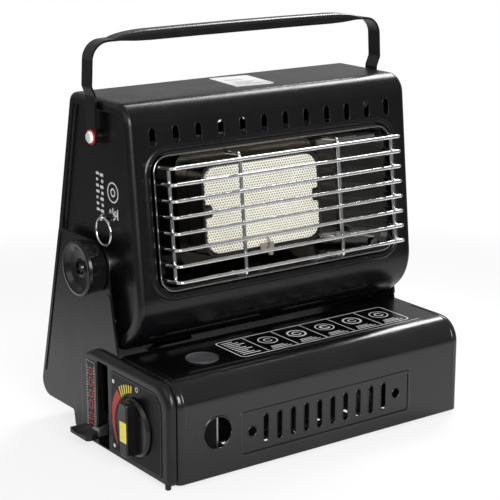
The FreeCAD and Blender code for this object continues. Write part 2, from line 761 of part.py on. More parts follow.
def reflector():
    """Deep polished dish: lofted walls from the rim in to the back plate."""
    levels = (
        (4.0, 207.0, 92.0, 13.0),
        (9.0, 201.0, 90.0, 13.0),
        (18.0, 182.0, 88.0, 13.0),
        (28.0, 156.0, 86.0, 12.0),
        (40.0, 124.0, 83.0, 10.0),
    )
    outer = []
    inner = []
    for y, w, h, r in levels:
        outer.append(to_xz(outline(round_rect(w + 1.6, h + 1.6, r + 0.8)), y))
        inner.append(to_xz(outline(round_rect(w, h, r)), y - 0.4))
    solid = Part.makeLoft(outer, True, True)
    hollow = Part.makeLoft(inner, True, True)
    lip = prism_y(round_rect(213.4, 97.6, 14.2), 4.0, 4.8)
    mouth = prism_y(round_rect(207.0, 92.0, 13.0), 0.0, 4.1)
    wall = prism_y(round_rect(125.6, 84.6, 10.8), 39.6, 40.6)
    dish = fuse([solid, lip, wall]).cut(hollow).cut(mouth)
    window = prism_y(round_rect(106.4, 68.4, 11), 30, 50)
    return on_face(dish.cut(window))


def window_trim():
    """Bright rolled rim round the mouth of the dish."""
    ring = prism_y(round_rect(211.0, 95.6, 12.3), -1.2, 3.9)
    ring = ring.cut(prism_y(round_rect(208.4, 93.0, 11.0), -3, 6))
    return on_face(ring.makeFillet(0.55, edges_at_y(ring, -1.2)))


def burner_box():
    """Plenum behind the plaque with a flange on the dish and the tile frame in front."""
    frame = prism_y(round_rect(105.6, 67.6, 10.6), PLAQUE_FRONT + 0.6, 41.0)
    frame = frame.cut(prism_y(round_rect(PLAQUE_W + 1.0, PLAQUE_H + 1.0, 9.5), 0, 32.6))
    flange = prism_y(round_rect(118, 78, 8), 41.0, 42.2)
    plenum = prism_y(round_rect(104, 66, 12), 42.2, 58.0)
    plenum = plenum.makeFillet(5, edges_at_y(plenum, 58.0))
    body = fuse([frame, flange, plenum])
    body = body.cut(prism_y(round_rect(PLAQUE_W - 6, PLAQUE_H - 6, 8), 30, 56.5))
    inlet = Part.makeCylinder(8.05, 20, Vector(-60, 50.0, -14.0), Vector(1, 0, 0))
    return on_face(body.cut(inlet))


def plaque_outline():
    w, h, n = PLAQUE_W / 2, PLAQUE_H / 2, 4.8
    return [
        (-w, -h, 11), (w, -h, 11), (w, -n, 1.5), (w - 5, -n, 1), (w - 5, n, 1), (w, n, 1.5),
        (w, h, 11), (-w, h, 11), (-w, n, 1.5), (-w + 5, n, 1), (-w + 5, -n, 1), (-w, -n, 1.5),
    ]


def ceramic_plaque():
    tile = prism_y(plaque_outline(), PLAQUE_FRONT, PLAQUE_FRONT + 12.4)
    return on_face(tile.makeChamfer(0.5, edges_at_y(tile, PLAQUE_FRONT)))


def plaque_clips():
    """Two sprung clips that hold the tile at its side notches."""
    clips = []
    for side in (-1, 1):
        u0 = side * (PLAQUE_W / 2 + 2.3)
        u1 = side * (PLAQUE_W / 2 - 4.4)
        clip = box(min(u0, u1), max(u0, u1), PLAQUE_FRONT - 0.6, PLAQUE_FRONT + 0.2, -3.6, 3.6)
        leg = box(u1 - 0.4, u1 + 0.4, PLAQUE_FRONT - 0.6, PLAQUE_FRONT + 12.0, -3.6, 3.6)
        clips.append(on_face(clip.fuse(leg)))
    return Part.makeCompound(clips)


def mixing_tube():
    """Air mixing tube along the burner with its flared air mouth."""
    profile = [(0, 5.4), (0, 10.5), (1.2, 10.5), (9, 7.9), (52, 7.9), (52, 6.4), (9, 6.4), (2, 9.0)]
    return on_face(revolve(profile, (-104, 50.0, -14.0), (1, 0, 0)))


def injector_nozzle():
    profile = [(0, 0), (0, 3.6), (8, 3.6), (8, 5.2), (13, 5.2), (13, 3.0), (17, 2.0), (17, 0)]
    body = revolve(profile, (-118.8, 50.0, -14.0), (1, 0, 0))
    body = body.cut(Part.makeCylinder(0.8, 30, Vector(-120, 50.0, -14.0), Vector(1, 0, 0)))
    return on_face(body)


def spark_electrode():
    """White insulator on a bracket under the tile, with its bent wire tip."""
    bracket = box(-6, 6, 18.2, 19.2, -36.5, -29.0).fuse(box(-6, 6, 19.2, 37.0, -36.5, -35.5))
    porcelain = rod_z(1.0, 20.5 - 4.6, -38.0, -31.5, 1.9)
    wire = tube([(1.0, 15.9, -34.0), (1.0, 15.9, -28.0), (1.0, 19.0, -25.0)], 0.6, 1.6)
    return on_face(fuse([bracket, porcelain, wire]))


def thermocouple():
    """Flame sensing rod that slants across the dish's lower right."""
    tip = tube([(48.0, 14.0, -30.0), (62.0, 14.0, -31.0), (94.0, 10.2, -37.5)], 1.0, 6.0)
    sleeve = Part.makeCylinder(1.8, 12, Vector(60.0, 14.0, -31.0), Vector(32, -3.8, -6.5))
    return on_face(fuse([tip, sleeve]))


def wire_guard():
    """Welded guard: eight rods bent back at both ends, two bent and two straight uprights."""
    rods = []
    g = GUARD_OUT
    for i in range(GUARD_RODS):
        v = GUARD_TOP - GUARD_PITCH * i
        points = [
            (-GUARD_HALF + ROD_R, 1.8, v),
            (-GUARD_HALF + ROD_R, g, v),
            (GUARD_HALF - ROD_R, g, v),
            (GUARD_HALF - ROD_R, 1.8, v),
        ]
        rods.append(tube(points, ROD_R, 3.2))
    low = GUARD_TOP - GUARD_PITCH * (GUARD_RODS - 1)
    for side in (-1, 1):
        u = side * (GUARD_HALF - 3.5)
        rods.append(rod_z(u, -9.5, low - 1.0, GUARD_TOP + 1.0, ROD_R))
        u = side * 43.5
        w = g + 2 * ROD_R - 0.3
        end, foot = GUARD_TOP + 3.9, low - 3.9
        rods.append(tube([(u, 1.8, end), (u, w, end), (u, w, foot), (u, 1.8, foot)], ROD_R, 3.2))
    return on_face(fuse(rods))


def heat_shield():
    """Bent shield between the burner and the rear cover."""
    shield = prism_y([(-96, -44, 5), (96, -44, 5), (96, 50, 5), (-96, 50, 5)], 66.0, 66.8)
    fold = box(-94, 94, 58.0, 66.4, 49.2, 50.0)
    holes = [slot_y((i - 3.5) * 22.0, 30.0, 5.0, 18.0, 60, 70) for i in range(8)]
    return on_face(shield.fuse(fold).cut(Part.makeCompound(holes)))


def pivot_bushes():
    bushes = []
    for sign in (-1, 1):
        x0 = FIELD_HALF + 0.03 if sign > 0 else -PLATE_IN + 0.03
        ring = rod_x(x0, x0 + PLATE_IN - FIELD_HALF - 0.06, PIVOT_Y, PIVOT_Z, 9.0)
        bushes.append(ring.cut(rod_x(x0 - 1, x0 + 8, PIVOT_Y, PIVOT_Z, 4.05)))
    return Part.makeCompound(bushes)


def top_label():
    label = prism_z(round_rect(32.4, 41.5, 2), HEAD_TOP, HEAD_TOP + 0.3)
    label.rotate(Vector(0, 0, 0), Vector(0, 0, 1), -6)
    label.translate(Vector(3.0, 11.8, 0))
    return label


def head_screws():
    heads = []
    for sign in (-1, 1):
        for y, z in ((32, 104), (-4, 96), (46, 141)):
            heads.append(screw(sign * FIELD_HALF, y, z, (sign, 0, 0), 2.6))
    return Part.makeCompound(heads)


# Tilt knobs, handle, pull ring


def tilt_knob(sign):
    """Dished round knob with a fluted skirt and a centre boss."""
    h = TILT_KNOB_OUT - 127.7
    r = TILT_KNOB_R
    skirt = [(0, 4.1), (0, r - 3.0), (1.2, r - 1.2), (h - 2.4, r), (h - 0.6, r - 0.4), (h, r - 2.0)]
    dish = [(h - 0.5, r - 4.0), (h - 3.2, r - 7.0), (h - 4.2, 7.0), (h - 4.0, 5.0), (h - 2.2, 4.1)]
    knob = revolve(skirt + dish, (127.7, PIVOT_Y, PIVOT_Z), (1, 0, 0))
    flutes = []
    for i in range(18):
        a = math.radians(i * 20.0)
        y = PIVOT_Y + (r + 1.2) * math.cos(a)
        z = PIVOT_Z + (r + 1.2) * math.sin(a)
        flutes.append(rod_x(126.7, 127.7 + h - 3.4, y, z, 1.9))
    knob = knob.cut(Part.makeCompound(flutes))
    if sign < 0:
        knob = knob.mirror(Vector(0, 0, 0), Vector(1, 0, 0))
    return knob


def tilt_stud(sign):
    """Clamp bolt from the knob through plate and bush into the head."""
    profile = [(0, 0), (0, 4.0), (22.5, 4.0), (23.4, 3.2), (23.4, 0)]
    stud = revolve(profile, (116.0, PIVOT_Y, PIVOT_Z), (1, 0, 0))
    hexagon = []
    for k in range(6):
        a = math.radians(k * 60)
        hexagon.append((PIVOT_Y + 6.9 * math.cos(a), PIVOT_Z + 6.9 * math.sin(a)))
    stud = stud.fuse(prism_x(hexagon, 114.6, 118.6))
    if sign < 0:
        stud = stud.mirror(Vector(0, 0, 0), Vector(1, 0, 0))
    return stud


def strap_path():
    """Outer face of the strap from rivet to rivet over the top: (x, z, bend radius)."""
    half = [
        (126.0, HANDLE_Z - 7.0),
        (126.0, 255.5, 4),
        (129.0, 262.5, 4),
        (127.4, 293.3, 14),
        (104.0, 294.2, 40),
    ]
    left = [(-p[0],) + p[1:] for p in half]
    return left + [(0.0, 295.8, 1500)] + half[::-1]


def grip_section(x, drop, half_width, top):
    """Inverted channel section across the strap with rounded shoulders and hems."""
    y0 = HANDLE_Y - half_width
    y1 = HANDLE_Y + half_width
    wall = min(1.7, 0.55 * drop)
    bend = min(3.0, 0.45 * drop)
    inner = min(1.3, 0.6 * (drop - wall))
    points = [
        (y0, top - drop, 0.3),
        (y0, top, bend),
        (y1, top, bend),
        (y1, top - drop, 0.3),
        (y1 - 1.6, top - drop, 0.3),
        (y1 - 1.6, top - wall, inner),
        (y0 + 1.6, top - wall, inner),
        (y0 + 1.6, top - drop, 0.3),
    ]
    return to_yz(outline(points), x)


def bail_handle():
    """One strap bent over the head; its middle is pressed into a channel grip."""
    face = Part.Face(outline(strip(strap_path(), -STRAP_T)))
    strap = to_xz(face, HANDLE_Y - STRAP_W / 2).extrude(Vector(0, STRAP_W, 0))
    round_end = rod_x(-130, 130, HANDLE_Y, HANDLE_Z, STRAP_W / 2)
    square = box(-130, 130, HANDLE_Y - 10, HANDLE_Y + 10, HANDLE_Z - 9, HANDLE_Z).cut(round_end)
    strap = strap.cut(square.fuse(rod_x(-130, 130, HANDLE_Y, HANDLE_Z, 2.26)))
    level = HANDLE_TOP - 4.3
    ends = (
        (109, 1.8, 6.3, -0.65),
        (104, 3.4, 6.4, 1.1),
        (96, 5.6, 6.6, 2.7),
        (88, 6.8, 6.7, 3.5),
        (80, 7.3, 6.7, 3.8),
    )
    pieces = []
    for sign in (-1, 1):
        tapered = [grip_section(sign * x, drop, half, level + lift) for x, drop, half, lift in ends]
        pieces.append(Part.makeLoft(tapered, True, False))
    middle = [(-80, 7.3, 3.8), (-40, 7.5, 4.18), (0, 7.6, 4.3), (40, 7.5, 4.18), (80, 7.3, 3.8)]
    grips = [grip_section(x, drop, 6.7, level + lift) for x, drop, lift in middle]
    pieces.append(Part.makeLoft(grips, True, True))
    strap = strap.cut(box(-109, 109, -20, 40, 285, 320))
    return strap.multiFuse(pieces)


def handle_rivets():
    rivets = []
    for sign in (-1, 1):
        tail = [(0, 0), (0, 4.2), (1.2, 4.2), (1.2, 2.2)]
        cap = [(9.1, 2.2), (9.1, 4.3), (10.0, 4.3), (11.0, 3.2), (11.2, 0)]
        rivets.append(revolve(tail + cap, (sign * (SEAM_HALF - 0.4), HANDLE_Y, HANDLE_Z), (sign, 0, 0)))
    return Part.makeCompound(rivets)


def rivet_washers():
    """Red washer under each rivet cap and the spacer behind the strap."""
    rings = []
    for sign in (-1, 1):
        for x, t, r in ((FIELD_HALF + 0.05, 4.4, 5.0), (126.03, 0.62, 5.4)):
            x0 = x if sign > 0 else -x - t
            ring = rod_x(x0, x0 + t, HANDLE_Y, HANDLE_Z, r)
            rings.append(ring.cut(rod_x(x0 - 1, x0 + t + 1, HANDLE_Y, HANDLE_Z, 2.24)))
    return Part.makeCompound(rings)


def stem_collar():
    profile = [(0, 2.05), (0, 3.8), (0.8, 3.8), (1.8, 3.0), (1.8, 2.05)]
    ring = revolve(profile, (-FIELD_HALF, STEM_Y, STEM_Z), (-1, 0, 0))
    sleeve = rod_x(-FIELD_HALF, -112.0, STEM_Y, STEM_Z, 2.55).cut(rod_x(-130, -100, STEM_Y, STEM_Z, 2.05))
    return ring.fuse(sleeve)


def pull_stem():
    """Needle stem with a flattened, drilled outer end."""
    profile = [(0, 0), (0, 2.0), (18.0, 2.0), (18.0, 0.9), (34.0, 0.9), (34.0, 0)]
    stem = revolve(profile, (-125.2, STEM_Y, STEM_Z), (1, 0, 0))
    ear = rod_y(-127.6, STEM_Y - 1.1, STEM_Y + 1.1, STEM_Z, 3.0)
    link = box(-127.6, -124.6, STEM_Y - 1.1, STEM_Y + 1.1, STEM_Z - 2.0, STEM_Z + 2.0)
    return fuse([stem, ear, link]).cut(rod_y(-128.4, STEM_Y - 3, STEM_Y + 3, STEM_Z, 1.3))


def pull_ring():
    """Split ring hanging in the stem's eye."""
    centre = Vector(-128.4, STEM_Y, STEM_Z - RING_R)
    return Part.makeTorus(RING_R, RING_WIRE, centre, Vector(1, 0, 0))


def nodes():
    return {
        "base_tray": base_tray(),
        "side_plate_left": side_plate(-1),
        "side_plate_right": side_plate(1),
        "deck_plate": deck_plate(),
        "front_feet": front_feet(),
        "rear_feet": rear_feet(),
        "control_panel": control_panel(),
        "scale_plate": scale_plate(),
        "name_strip": name_strip(),
        "regulator_body": regulator_body(),
        "igniter": igniter(),
        "gas_hose": gas_hose(),
        "cartridge_guide": cartridge_guide(),
        "hinge_pins": hinge_pins(),
        "base_screws": base_screws(),
        "lid": lid(),
        "lid_plug": lid_plug(),
        "lock_lever": lock_lever(),
        "lever_tab": lever_tab(),
        "cartridge_cradle": cartridge_cradle(),
        "control_knob": control_knob(),
        "knob_pointer": knob_pointer(),
        "valve_spindle": valve_spindle(),
        "head_front": head_front(),
        "head_side_left": head_side(-1),
        "head_side_right": head_side(1),
        "head_rear": head_rear(),
        "reflector": reflector(),
        "window_trim": window_trim(),
        "burner_box": burner_box(),
        "ceramic_plaque": ceramic_plaque(),
        "plaque_clips": plaque_clips(),
        "mixing_tube": mixing_tube(),
        "injector_nozzle": injector_nozzle(),
        "spark_electrode": spark_electrode(),
        "thermocouple": thermocouple(),
        "wire_guard": wire_guard(),
        "heat_shield": heat_shield(),
        "pivot_bushes": pivot_bushes(),
        "top_label": top_label(),
        "head_screws": head_screws(),
        "tilt_knob_left": tilt_knob(-1),
        "tilt_knob_right": tilt_knob(1),
        "tilt_stud_left": tilt_stud(-1),
        "tilt_stud_right": tilt_stud(1),
        "bail_handle": bail_handle(),
        "handle_rivets": handle_rivets(),
        "rivet_washers": rivet_washers(),
        "stem_collar": stem_collar(),
        "pull_stem": pull_stem(),
        "pull_ring": pull_ring(),
    }


os.makedirs("parts", exist_ok=True)
for name, shape in nodes().items():
    shape.translate(Vector(0, CENTRE_Y, 0))
    shape.exportStep("parts/" + name + ".step")
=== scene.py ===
import math

import bmesh
import bpy
from mathutils import Matrix, Vector


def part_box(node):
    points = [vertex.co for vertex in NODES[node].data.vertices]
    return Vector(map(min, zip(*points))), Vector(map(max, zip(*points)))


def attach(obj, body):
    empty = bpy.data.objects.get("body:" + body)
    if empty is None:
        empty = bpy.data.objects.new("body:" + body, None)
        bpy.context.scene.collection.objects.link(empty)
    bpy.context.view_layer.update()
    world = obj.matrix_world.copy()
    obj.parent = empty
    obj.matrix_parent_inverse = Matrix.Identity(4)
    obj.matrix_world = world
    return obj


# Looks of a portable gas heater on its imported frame. Metres, +Z up, the front faces -Y.

MM = 0.001

# Camera, fitted to the photograph
CAM_AZIMUTH = math.radians(-35.73)
CAM_ELEVATION = math.radians(15.06)
CAM_DISTANCE = 1.1715
CAM_TARGET = Vector((-0.0012, -0.00265, 0.1298))
CAM_LENS = 113.31

# The floor is pale up to FLOOR_NEAR from the middle and darkens to FLOOR_DARK at FLOOR_FAR
FLOOR_NEAR = 0.30
FLOOR_FAR = 0.62
FLOOR_DARK = (0.04, 0.04, 0.04, 1)
FLOOR_HALF = 6.0

# Share of plain white in what the camera sees of the near floor; the rest keeps the shadow
FLOOR_WHITE = 0.76

# Share of the white background that glossy and transmitted rays see
GLOSS_WHITE = 0.14

# World light, from the horizon and below up to overhead
SKY_LOW = (0.30, 0.30, 0.30, 1)
SKY_HIGH = (0.42, 0.42, 0.43, 1)
SKY_STRENGTH = 0.9

# Ceramic tile: bore spacing in metres, and row spacing as a share of it
TILE_PITCH = 0.0023
TILE_ROW = 0.80

# Prints stand this far off the surface that carries them
FILM = 0.00006

# Drawings below measure depth from a line that is this far in front of the middle, in millimetres
CENTRE_Y = 2.35

# The flat top of the lid is this far over its lower edge
LID_HEIGHT = 0.072

# The lid's end beads stand this far proud of its front sheet
LID_BEAD_PROUD = 0.0004

# The field of a side pan lies this far inside its rim
SIDE_FIELD = 0.0026

# X of the changes of finish: rivet spacer to washer, stud to its tip, stem to its ear
WASHER_X = 0.1255
STUD_TIP_X = 0.128
STEM_EAR_X = -0.1262

# The head's leaning face: its slope, and the window's centre in millimetres
FACE_SLOPE = 0.104
WINDOW_Z = 170.7
WINDOW_Y = -37.9

# Vents and slots, in millimetres: how many, how far apart, and the height of the row
VENTS = 12
VENT_FIRST_X = -63.2
VENT_PITCH = 11.889
VENT_Z = 28.6
SLOTS = 12
SLOT_PITCH = 18.8
SLOT_V = 60.8

# Round hole in the lid's front
SIGHT_HOLE = (-92.5, 34.4)

# Gas scale round the knob, in millimetres and degrees
SCALE_INNER = 24.0
SCALE_OUTER = 31.0
SCALE_START = -40.0
SCALE_END = 42.0

WHITE = (0.82, 0.82, 0.80, 1)
GREY_PRINT = (0.42, 0.42, 0.40, 1)
DIM_PRINT = (0.07, 0.07, 0.07, 1)
YELLOW = (0.85, 0.72, 0.08, 1)
RED = (0.60, 0.03, 0.025, 1)


# Node helpers


class Nodes:
    """Short calls for building one material's node tree."""

    def __init__(self, name):
        self.mat = bpy.data.materials.new(name)
        self.mat.use_nodes = True
        self.tree = self.mat.node_tree
        self.tree.nodes.clear()
        self.out = self.tree.nodes.new("ShaderNodeOutputMaterial")
        self.coord = self.tree.nodes.new("ShaderNodeTexCoord")

    def add(self, kind, inputs=None, **settings):
        node = self.tree.nodes.new(kind)
        for key, value in settings.items():
            setattr(node, key, value)
        for key, value in (inputs or {}).items():
            self.put(node.inputs[key], value)
        return node

    def put(self, socket, value):
        if isinstance(value, bpy.types.NodeSocket):
            self.tree.links.new(value, socket)
        else:
            socket.default_value = value

    def math(self, operation, a, b=0.0, clamp=False):
        node = self.add("ShaderNodeMath", operation=operation, use_clamp=clamp)
        self.put(node.inputs[0], a)
        self.put(node.inputs[1], b)
        return node.outputs[0]

    def noise(self, scale, detail=3.0, rough=0.5, stretch=(1, 1, 1)):
        place = self.coord.outputs["Object"]
        mapped = self.add("ShaderNodeMapping", {"Vector": place, "Scale": stretch})
        node = self.add(
            "ShaderNodeTexNoise",
            {"Vector": mapped.outputs[0], "Scale": scale, "Detail": detail, "Roughness": rough},
        )
        return node.outputs["Fac"]

    def ramp(self, value, low, high, out_low=0.0, out_high=1.0):
        node = self.add("ShaderNodeMapRange", {"Value": value})
        ends = {"From Min": low, "From Max": high, "To Min": out_low, "To Max": out_high}
        for key, number in ends.items():
            node.inputs[key].default_value = number
        return node.outputs["Result"]

    def mix(self, factor, a, b):
        node = self.add("ShaderNodeMix", data_type="RGBA")
        self.put(node.inputs[0], factor)
        self.put(node.inputs[6], a)
        self.put(node.inputs[7], b)
        return node.outputs[2]

    def bump(self, height, strength, distance, normal=None):
        inputs = {"Height": height, "Strength": strength, "Distance": distance}
        node = self.add("ShaderNodeBump", inputs)
        if normal is not None:
            self.put(node.inputs["Normal"], normal)
        return node.outputs["Normal"]

    def surface(self, **inputs):
        shader = self.add("ShaderNodeBsdfPrincipled")
        names = {"color": "Base Color", "rough": "Roughness", "metal": "Metallic",
                 "normal": "Normal", "spec": "Specular IOR Level"}
        for key, value in inputs.items():
            self.put(shader.inputs[names[key]], value)
        self.tree.links.new(shader.outputs[0], self.out.inputs[0])
        return self.mat

    def xyz(self):
        node = self.add("ShaderNodeSeparateXYZ", {"Vector": self.coord.outputs["Object"]})
        return node.outputs


# Materials


def enamel(name, tone, gloss, dust=0.35, spec=0.5):
    """Baked satin enamel on sheet steel: orange peel, faint dust, drifting gloss."""
    n = Nodes(name)
    cloud = n.noise(22.0, 4.0, 0.6)
    fine = n.noise(900.0, 2.0, 0.5)
    peel = n.noise(420.0, 2.0, 0.45)
    specks = n.ramp(n.noise(2600.0, 0.0), 0.74, 0.80)
    light = tuple(c * 1.6 + 0.0015 for c in tone[:3]) + (1,)
    color = n.mix(n.math("MULTIPLY", n.ramp(cloud, 0.35, 0.7), 0.7), tone, light)
    color = n.mix(n.math("MULTIPLY", specks, 0.10 * dust), color, (0.30, 0.29, 0.27, 1))
    smear = n.ramp(n.noise(35.0, 5.0, 0.65, (1, 1, 0.35)), 0.3, 0.75, gloss - 0.05, gloss + 0.09)
    rough = n.math("ADD", smear, n.math("MULTIPLY", fine, 0.04))
    normal = n.bump(peel, 0.10, 0.00012)
    normal = n.bump(fine, 0.05, 0.00004, normal)
    return n.surface(color=color, rough=rough, normal=normal, spec=spec)


def moulded(name, tone, gloss, grain=0.35, spec=0.5):
    """Moulded plastic with a spark-eroded grain and paler rubbed spots."""
    n = Nodes(name)
    grain_noise = n.noise(1500.0, 3.0, 0.6)
    cloud = n.noise(60.0, 4.0, 0.6)
    light = tuple(c * 1.6 + 0.002 for c in tone[:3]) + (1,)
    color = n.mix(n.ramp(cloud, 0.35, 0.75), tone, light)
    smear = n.ramp(cloud, 0.2, 0.8, gloss - 0.05, gloss + 0.07)
    rough = n.math("ADD", smear, n.math("MULTIPLY", grain_noise, 0.06))
    normal = n.bump(grain_noise, grain, 0.00008)
    return n.surface(color=color, rough=rough, normal=normal, spec=spec)


def chromed(name, tone, gloss, stretch=(1, 1, 1)):
    """Bright plating with faint haze and drawing lines."""
    n = Nodes(name)
    haze = n.noise(90.0, 4.0, 0.6)
    lines = n.noise(700.0, 2.0, 0.5, stretch)
    dark = tuple(c * 0.80 for c in tone[:3]) + (1,)
    color = n.mix(n.ramp(haze, 0.3, 0.7), dark, tone)
    rough = n.ramp(haze, 0.25, 0.8, gloss - 0.04, gloss + 0.07)
    return n.surface(color=color, rough=rough, metal=1.0, normal=n.bump(lines, 0.06, 0.00005))


def sheet_metal(name, tone, gloss, stretch=(1, 40, 40)):
    """Rolled or plated sheet with grain along X, spangle and handling marks."""
    n = Nodes(name)
    grain = n.noise(160.0, 4.0, 0.6, stretch)
    cloud = n.noise(45.0, 5.0, 0.65)
    cells = n.add("ShaderNodeTexVoronoi", {"Vector": n.coord.outputs["Object"], "Scale": 260.0})
    spangle = cells.outputs["Distance"]
    dark = tuple(c * 0.72 for c in tone[:3]) + (1,)
    color = n.mix(n.ramp(cloud, 0.3, 0.7), dark, tone)
    color = n.mix(n.math("MULTIPLY", n.ramp(spangle, 0.1, 0.6), 0.18), color, dark)
    smear = n.ramp(grain, 0.3, 0.7, gloss - 0.05, gloss + 0.08)
    rough = n.math("ADD", smear, n.math("MULTIPLY", cloud, 0.06))
    return n.surface(color=color, rough=rough, metal=1.0, normal=n.bump(grain, 0.12, 0.00006))


def reflector_steel():
    """Polished dish: mirror steel with its tone painted dark as painted reflection of dark
    surroundings, and a little browner towards the middle near the tile.
    """
    n = Nodes("polished_dish")
    x, y, z = n.xyz()
    haze = n.noise(40.0, 5.0, 0.6)
    lines = n.noise(220.0, 3.0, 0.5, (1, 30, 30))
    across = n.math("DIVIDE", n.math("ABSOLUTE", x), 0.085)
    # Browner towards the middle of the dish, near the tile, fading out towards its sides.
    browner_middle = n.ramp(n.math("ADD", across, n.math("MULTIPLY", haze, 0.5)), 0.6, 1.25, 1.0, 0.0)
    # Both steel tones are painted near black: painted reflection of dark surroundings, far darker
    # than bare polished steel.
    color = n.mix(haze, (0.075, 0.074, 0.070, 1), (0.115, 0.113, 0.106, 1))
    color = n.mix(n.math("MULTIPLY", browner_middle, 0.45), color, (0.13, 0.10, 0.07, 1))
    rough = n.ramp(haze, 0.2, 0.8, 0.05, 0.12)
    return n.surface(color=color, rough=rough, metal=1.0, normal=n.bump(lines, 0.05, 0.00006))


def ceramic():
    """Perforated ceramic tile: staggered bores painted near black as painted shade, chalky body,
    warm stains.
    """
    n = Nodes("perforated_ceramic")
    x, y, z = n.xyz()
    row = n.math("DIVIDE", z, TILE_PITCH * TILE_ROW)
    odd = n.math("MODULO", n.math("ABSOLUTE", n.math("FLOOR", row)), 2.0)
    column = n.math("ADD", n.math("DIVIDE", x, TILE_PITCH), n.math("MULTIPLY", odd, 0.5))
    u = n.math("SUBTRACT", n.math("FRACT", n.math("ADD", column, 200.0)), 0.5)
    v = n.math("SUBTRACT", n.math("FRACT", n.math("ADD", row, 200.0)), 0.5)
    v = n.math("MULTIPLY", v, TILE_ROW)
    reach = n.math("SQRT", n.math("ADD", n.math("MULTIPLY", u, u), n.math("MULTIPLY", v, v)))
    cloud = n.noise(70.0, 5.0, 0.6)
    uneven = n.noise(520.0, 1.0, 0.5)
    bore_with_painted_shade = n.ramp(n.math("ADD", reach, n.math("MULTIPLY", uneven, 0.16)), 0.30, 0.38, 1.0, 0.0)
    chalk = n.noise(1400.0, 3.0, 0.6)
    body = n.mix(n.ramp(cloud, 0.3, 0.72), (0.82, 0.79, 0.68, 1), (0.90, 0.88, 0.79, 1))
    body = n.mix(n.math("MULTIPLY", chalk, 0.25), body, (0.93, 0.92, 0.86, 1))
    # The bores get a near-black colour: painted shade inside them; the same mask also sinks them in
    # the bump.
    color = n.mix(bore_with_painted_shade, body, (0.11, 0.09, 0.06, 1))
    height = n.math("SUBTRACT", n.math("MULTIPLY", chalk, 0.15), bore_with_painted_shade)
    rough = n.ramp(chalk, 0.2, 0.8, 0.82, 0.95)
    return n.surface(color=color, rough=rough, normal=n.bump(height, 0.55, 0.0003), spec=0.2)


def rubber(name):
    """Dull black rubber with a fine grain."""
    n = Nodes(name)
    cloud = n.noise(80.0, 4.0, 0.6)
    grain = n.noise(1800.0, 2.0, 0.5)
    color = n.mix(cloud, (0.012, 0.012, 0.012, 1), (0.035, 0.034, 0.033, 1))
    rough = n.ramp(cloud, 0.2, 0.8, 0.62, 0.8)
    return n.surface(color=color, rough=rough, normal=n.bump(grain, 0.3, 0.0001), spec=0.3)


def film(name, tone, gloss=0.4, blotch=0.12, spec=0.4):
    """Printed film or ink: slight unevenness and paper-thin texture."""
    n = Nodes(name)
    cloud = n.noise(300.0, 4.0, 0.65)
    fibre = n.noise(1600.0, 3.0, 0.6)
    shade = tuple(c * (1 - blotch) for c in tone[:3]) + (1,)
    color = n.mix(n.ramp(cloud, 0.3, 0.7), shade, tone)
    rough = n.ramp(fibre, 0.2, 0.8, gloss - 0.04, gloss + 0.08)
    return n.surface(color=color, rough=rough, normal=n.bump(fibre, 0.05, 0.00003), spec=spec)


def floor_material():
    """Floor that the camera sees as white with the object's shadow; its own colour darkens far out.

    Glossy and transmitted rays see it as lit, with GLOSS_WHITE of plain white mixed in.
    """
    n = Nodes("studio_floor")
    x, y, z = n.xyz()
    reach = n.math("SQRT", n.math("ADD", n.math("MULTIPLY", x, x), n.math("MULTIPLY", y, y)))
    far = n.ramp(reach, FLOOR_NEAR, FLOOR_FAR)
    cloud = n.noise(1.5, 3.0, 0.5)
    pale = n.mix(cloud, (0.86, 0.86, 0.86, 1), (0.90, 0.90, 0.90, 1))
    shader = n.add("ShaderNodeBsdfDiffuse", {"Color": n.mix(far, pale, FLOOR_DARK)})
    glow = n.add("ShaderNodeEmission", {"Color": (1, 1, 1, 1), "Strength": 1.0})
    path = n.add("ShaderNodeLightPath")
    white = n.math("ADD", n.math("MULTIPLY", far, 1 - FLOOR_WHITE), FLOOR_WHITE)
    seen = n.math("MULTIPLY", path.outputs["Is Camera Ray"], white)
    gloss = n.math("MAXIMUM", path.outputs["Is Glossy Ray"], path.outputs["Is Transmission Ray"])
    amount = n.math("ADD", seen, n.math("MULTIPLY", gloss, GLOSS_WHITE), True)
    mixed = n.add("ShaderNodeMixShader", {0: amount, 1: shader.outputs[0], 2: glow.outputs[0]})
    n.tree.links.new(mixed.outputs[0], n.out.inputs[0])
    return n.mat


# Mesh helpers


def mesh_object(name, bm, material, body, smooth=False):
    data = bpy.data.meshes.new(name)
    bm.to_mesh(data)
    bm.free()
    obj = bpy.data.objects.new(name, data)
    bpy.context.scene.collection.objects.link(obj)
    data.materials.append(material)
    if smooth:
        for face in data.polygons:
            face.use_smooth = True
    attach(obj, body)
    return obj


